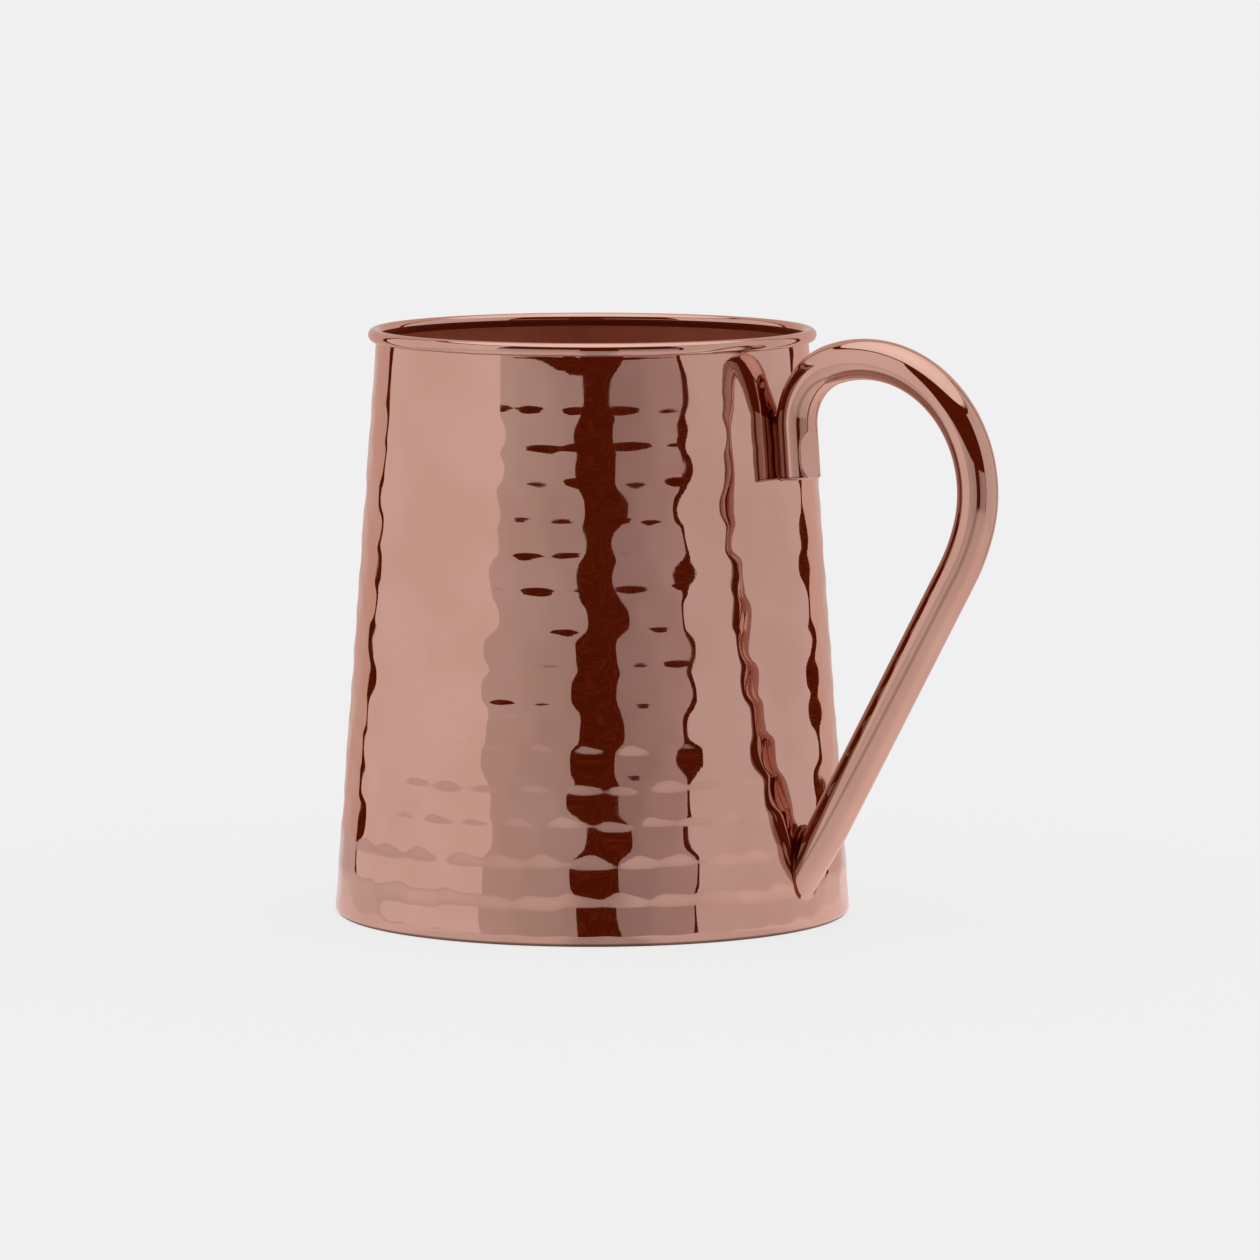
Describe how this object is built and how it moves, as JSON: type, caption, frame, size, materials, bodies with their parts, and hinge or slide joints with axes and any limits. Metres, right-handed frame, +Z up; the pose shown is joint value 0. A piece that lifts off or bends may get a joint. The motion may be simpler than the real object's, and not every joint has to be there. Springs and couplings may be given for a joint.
{
  "type": "hammered copper mug",
  "caption": "Tapered hammered copper mug with a wired rolled rim, a soldered base plate and a round bar handle brazed to the wall at its tail and foot",
  "frame": {"origin": "centre of the foot, in the plane the mug stands on", "axes": "+Z up along the mug's own axis, +X out through the middle of the handle, +Y to the left of someone looking along +X"},
  "size_m": [0.1341, 0.095, 0.1083],
  "materials": {
    "hammered_copper": "hammered copper sheet, polished",
    "polished_copper": "smooth drawn copper bar, polished",
    "inside_copper": "copper sheet, satin",
    "braze": "brazing and solder metal, dressed smooth",
    "steel_wire": "plain drawn wire, hidden in the rim"
  },
  "bodies": {
    "root": {"body_wall": "hammered_copper", "rim_wire": "steel_wire", "base_plate": "inside_copper", "base_solder_seam": "braze", "handle_bar": "polished_copper", "upper_handle_braze": "braze", "lower_handle_braze": "braze"}
  },
  "joints": []
}
